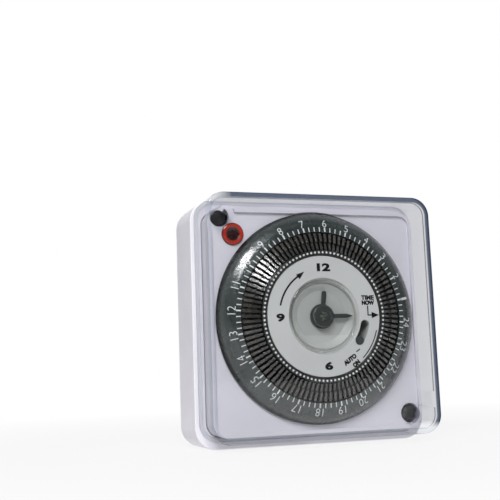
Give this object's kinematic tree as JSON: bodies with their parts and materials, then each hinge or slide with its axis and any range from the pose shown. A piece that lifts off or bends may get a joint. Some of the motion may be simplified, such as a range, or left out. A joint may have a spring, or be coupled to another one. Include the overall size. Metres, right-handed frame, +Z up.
{
  "type": "plug in timer switch",
  "caption": "Square wall-mounted mechanical 24-hour timer switch with a segment dial, quartered clock hands, neon lamp and screwed clear cover.",
  "frame": {"origin": "middle of the footprint, on the plane that the case stands on when it is set down on its lower edge", "axes": "+Z up, +Y from the dial to the wall, +X to the right seen from the front"},
  "size_m": [0.086, 0.039, 0.086],
  "materials": {
    "case_white": "fine satin white moulding",
    "cover_clear": "clear polished moulding",
    "seal_rubber": "soft grey gasket",
    "screw_black": "black finished steel",
    "screw_steel": "zinc plated",
    "brass_parts": "turned brass",
    "tab_tinned": "tinned brass",
    "pedestal_white": "white moulding",
    "disc_pale": "pale grey-green satin",
    "dial_slate": "glossy dark slate",
    "dial_black": "black moulding",
    "hand_dark": "dark grey-green",
    "gear_acetal": "natural acetal",
    "arbor_steel": "ground steel",
    "lever_dark": "dark moulding",
    "neon_red": "clear red lens",
    "lamp_glass": "small glass lamp",
    "plate_steel": "plated sheet",
    "can_steel": "plated pressed can",
    "coil_wrap": "wound copper",
    "switch_plastic": "black moulding",
    "switch_lid_grey": "grey moulding",
    "block_white": "off-white moulding"
  },
  "bodies": {
    "housing": {"rear_case": "case_white", "cover_seal": "seal_rubber", "cover_screw_inserts": "brass_parts", "front_frame": "case_white", "frame_screws": "screw_steel", "pedestal": "pedestal_white", "pedestal_screws": "screw_steel", "face_disc": "disc_pale", "hand_crystal": "cover_clear", "neon_lens": "neon_red", "neon_lamp": "lamp_glass", "rear_plate": "plate_steel", "motion_stud": "brass_parts", "plate_screws": "screw_steel", "motor_can": "can_steel", "motor_coil": "coil_wrap", "motor_gear_pack": "block_white", "motor_screws": "screw_steel", "switch_body": "switch_plastic", "switch_lid": "switch_lid_grey", "contact_blade": "brass_parts", "fixed_contact": "brass_parts", "switch_tabs": "tab_tinned", "terminal_block": "block_white", "terminal_clamps": "brass_parts", "terminal_screws": "screw_steel"},
    "cover": {"cover": "cover_clear"},
    "cover_screw_upper": {"cover_screw_upper": "screw_black"},
    "cover_screw_lower": {"cover_screw_lower": "screw_black"},
    "dial": {"dial_ring": "dial_slate", "tappet_carrier": "dial_black", "dial_dot_ring": "dial_black", "dial_gear": "gear_acetal"},
    "tappets_00_to_02_h": {"tappets_00_to_02_h": "dial_black"},
    "tappets_02_to_04_h": {"tappets_02_to_04_h": "dial_black"},
    "tappets_04_to_06_h": {"tappets_04_to_06_h": "dial_black"},
    "tappets_06_to_08_h": {"tappets_06_to_08_h": "dial_black"},
    "tappets_08_to_10_h": {"tappets_08_to_10_h": "dial_black"},
    "tappets_10_to_12_h": {"tappets_10_to_12_h": "dial_black"},
    "tappets_12_to_14_h": {"tappets_12_to_14_h": "dial_black"},
    "tappets_14_to_16_h": {"tappets_14_to_16_h": "dial_black"},
    "tappets_16_to_18_h": {"tappets_16_to_18_h": "dial_black"},
    "tappets_18_to_20_h": {"tappets_18_to_20_h": "dial_black"},
    "tappets_20_to_22_h": {"tappets_20_to_22_h": "dial_black"},
    "tappets_22_to_24_h": {"tappets_22_to_24_h": "dial_black"},
    "day_arbor": {"day_arbor": "gear_acetal"},
    "hour": {"hour_wheel": "gear_acetal", "hour_hand": "hand_dark"},
    "minute": {"minute_arbor": "arbor_steel", "drive_wheel": "gear_acetal", "minute_hand": "hand_dark", "hub_cap": "hand_dark"},
    "minute_wheel": {"minute_wheel": "gear_acetal"},
    "motor_pinion": {"motor_pinion": "brass_parts"},
    "override": {"override_lever": "lever_dark"},
    "follower": {"switch_follower": "switch_plastic", "switch_button": "switch_plastic"}
  },
  "joints": [
    {"name": "cover_lift", "type": "slide", "parent": "housing", "child": "cover", "axis": [0, -1, 0], "range_m": [0, 0.045]},
    {"name": "cover_screw_upper_turn", "type": "hinge", "parent": "cover", "child": "cover_screw_upper", "pos_m": [-0.0344, 0, 0.07895], "axis": [0, 1, 0], "continuous": true},
    {"name": "cover_screw_lower_turn", "type": "hinge", "parent": "cover", "child": "cover_screw_lower", "pos_m": [0.0344, 0, 0.00945], "axis": [0, 1, 0], "continuous": true},
    {"name": "dial_turn", "type": "hinge", "parent": "housing", "child": "dial", "pos_m": [0, 0, 0.0439], "axis": [0, 1, 0], "continuous": true},
    {"name": "tappets_00_to_02_h_press", "type": "slide", "parent": "dial", "child": "tappets_00_to_02_h", "axis": [0, 1, 0], "range_m": [0, 0.0014]},
    {"name": "tappets_02_to_04_h_press", "type": "slide", "parent": "dial", "child": "tappets_02_to_04_h", "axis": [0, 1, 0], "range_m": [0, 0.0014]},
    {"name": "tappets_04_to_06_h_press", "type": "slide", "parent": "dial", "child": "tappets_04_to_06_h", "axis": [0, 1, 0], "range_m": [0, 0.0014]},
    {"name": "tappets_06_to_08_h_press", "type": "slide", "parent": "dial", "child": "tappets_06_to_08_h", "axis": [0, 1, 0], "range_m": [0, 0.0014]},
    {"name": "tappets_08_to_10_h_press", "type": "slide", "parent": "dial", "child": "tappets_08_to_10_h", "axis": [0, 1, 0], "range_m": [0, 0.0014]},
    {"name": "tappets_10_to_12_h_press", "type": "slide", "parent": "dial", "child": "tappets_10_to_12_h", "axis": [0, 1, 0], "range_m": [0, 0.0014]},
    {"name": "tappets_12_to_14_h_press", "type": "slide", "parent": "dial", "child": "tappets_12_to_14_h", "axis": [0, 1, 0], "range_m": [0, 0.0014]},
    {"name": "tappets_14_to_16_h_press", "type": "slide", "parent": "dial", "child": "tappets_14_to_16_h", "axis": [0, 1, 0], "range_m": [0, 0.0014]},
    {"name": "tappets_16_to_18_h_press", "type": "slide", "parent": "dial", "child": "tappets_16_to_18_h", "axis": [0, 1, 0], "range_m": [0, 0.0014]},
    {"name": "tappets_18_to_20_h_press", "type": "slide", "parent": "dial", "child": "tappets_18_to_20_h", "axis": [0, 1, 0], "range_m": [0, 0.0014]},
    {"name": "tappets_20_to_22_h_press", "type": "slide", "parent": "dial", "child": "tappets_20_to_22_h", "axis": [0, 1, 0], "range_m": [0, 0.0014]},
    {"name": "tappets_22_to_24_h_press", "type": "slide", "parent": "dial", "child": "tappets_22_to_24_h", "axis": [0, 1, 0], "range_m": [0, 0.0014]},
    {"name": "day_arbor_turn", "type": "hinge", "parent": "housing", "child": "day_arbor", "pos_m": [-0.02114, 0, 0.0362], "axis": [0, 1, 0], "continuous": true},
    {"name": "hour_turn", "type": "hinge", "parent": "housing", "child": "hour", "pos_m": [0, 0, 0.0439], "axis": [0, 1, 0], "continuous": true},
    {"name": "minute_turn", "type": "hinge", "parent": "housing", "child": "minute", "pos_m": [0, 0, 0.0439], "axis": [0, 1, 0], "continuous": true},
    {"name": "minute_wheel_turn", "type": "hinge", "parent": "housing", "child": "minute_wheel", "pos_m": [-0.0041, 0, 0.03262], "axis": [0, 1, 0], "continuous": true},
    {"name": "motor_pinion_turn", "type": "hinge", "parent": "housing", "child": "motor_pinion", "pos_m": [-0.006, 0, 0.05429], "axis": [0, 1, 0], "continuous": true},
    {"name": "override_turn", "type": "hinge", "parent": "housing", "child": "override", "pos_m": [0, 0, 0.0439], "axis": [0, -1, 0], "range_deg": [0, 22]},
    {"name": "follower_slide", "type": "slide", "parent": "housing", "child": "follower", "axis": [0, 1, 0], "range_m": [0, 0.0009], "stiffness_N_per_m": 300, "springref_m": -0.001, "deforming": ["contact_blade"]}
  ],
  "couplings": [
    {"joint": "day_arbor_turn", "follows": "dial_turn", "ratio": -8},
    {"joint": "hour_turn", "follows": "dial_turn", "ratio": 2},
    {"joint": "minute_turn", "follows": "dial_turn", "ratio": 24},
    {"joint": "minute_wheel_turn", "follows": "dial_turn", "ratio": -8},
    {"joint": "motor_pinion_turn", "follows": "dial_turn", "ratio": -96}
  ]
}
